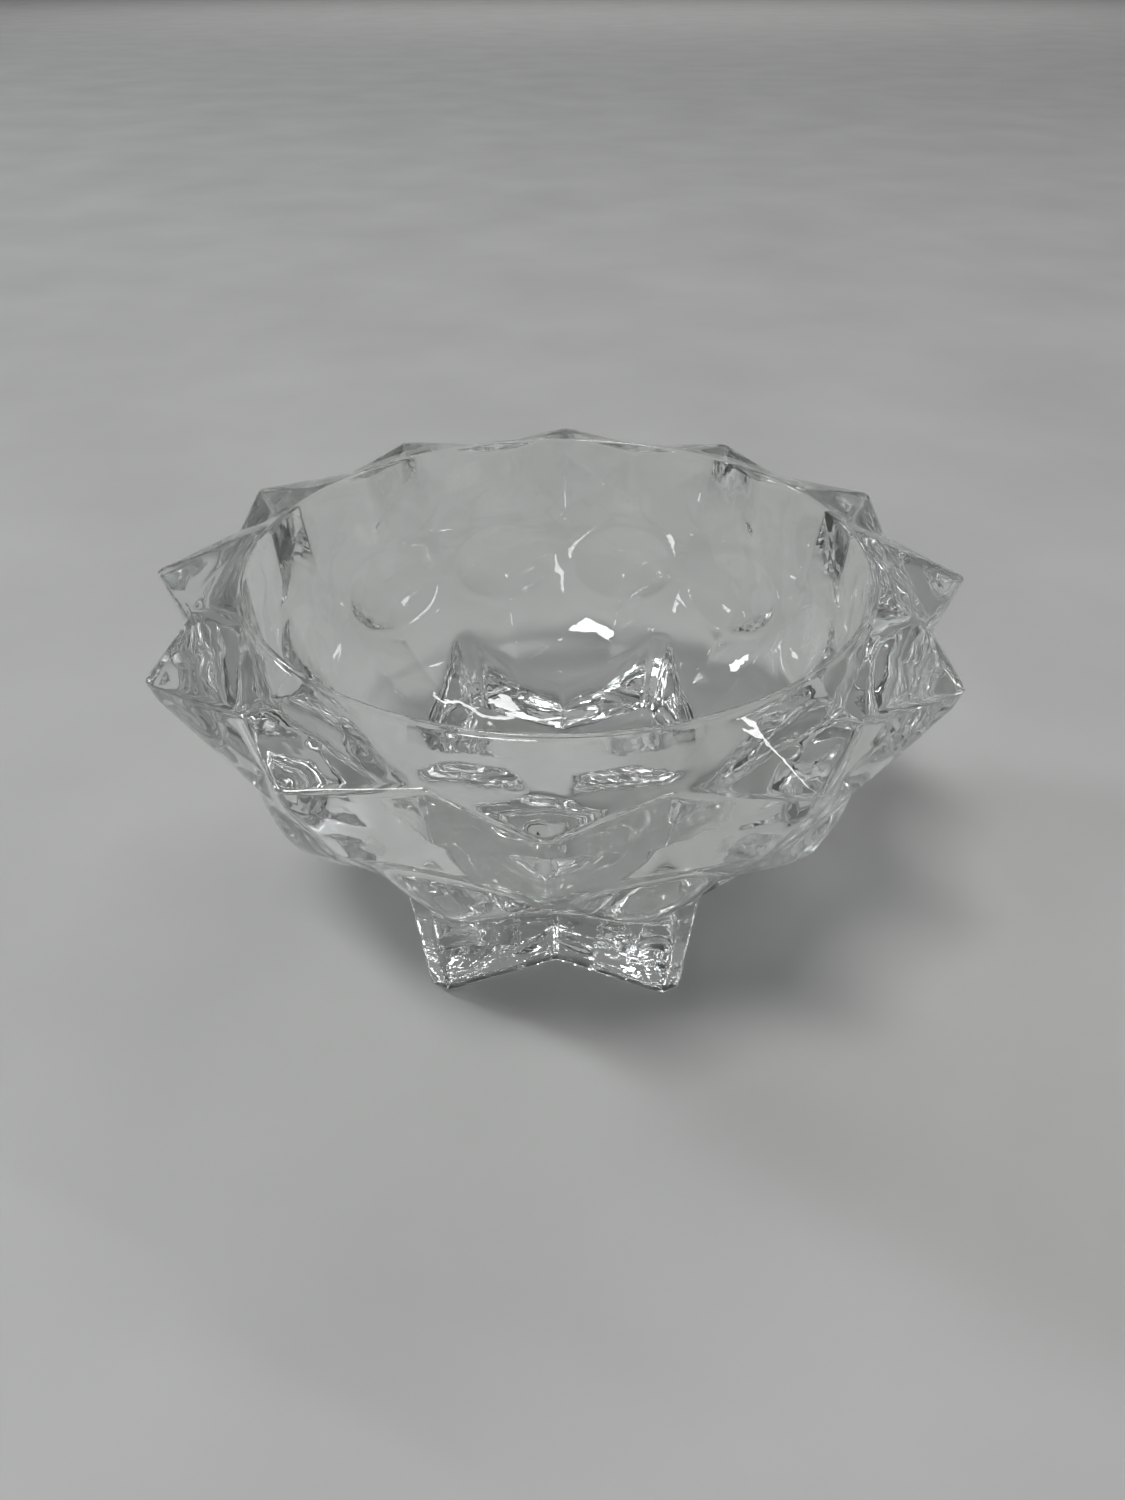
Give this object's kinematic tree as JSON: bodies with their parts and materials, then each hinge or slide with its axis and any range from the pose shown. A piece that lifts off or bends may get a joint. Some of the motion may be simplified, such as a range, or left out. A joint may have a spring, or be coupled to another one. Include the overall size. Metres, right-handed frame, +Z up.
{
  "type": "pressed glass dish",
  "caption": "Small round clear pressed-glass dish with pointed petals under the rim, round bosses below them and a solid star-shaped foot.",
  "frame": {"origin": "centre of the flat underside of the star foot", "axes": "+Z up along the dish's axis; one petal and one star point lie along +X"},
  "size_m": [0.12, 0.12, 0.06],
  "materials": {
    "clear_glass": "clear fire-polished pressed glass"
  },
  "bodies": {
    "root": {"dish": "clear_glass"}
  },
  "joints": []
}
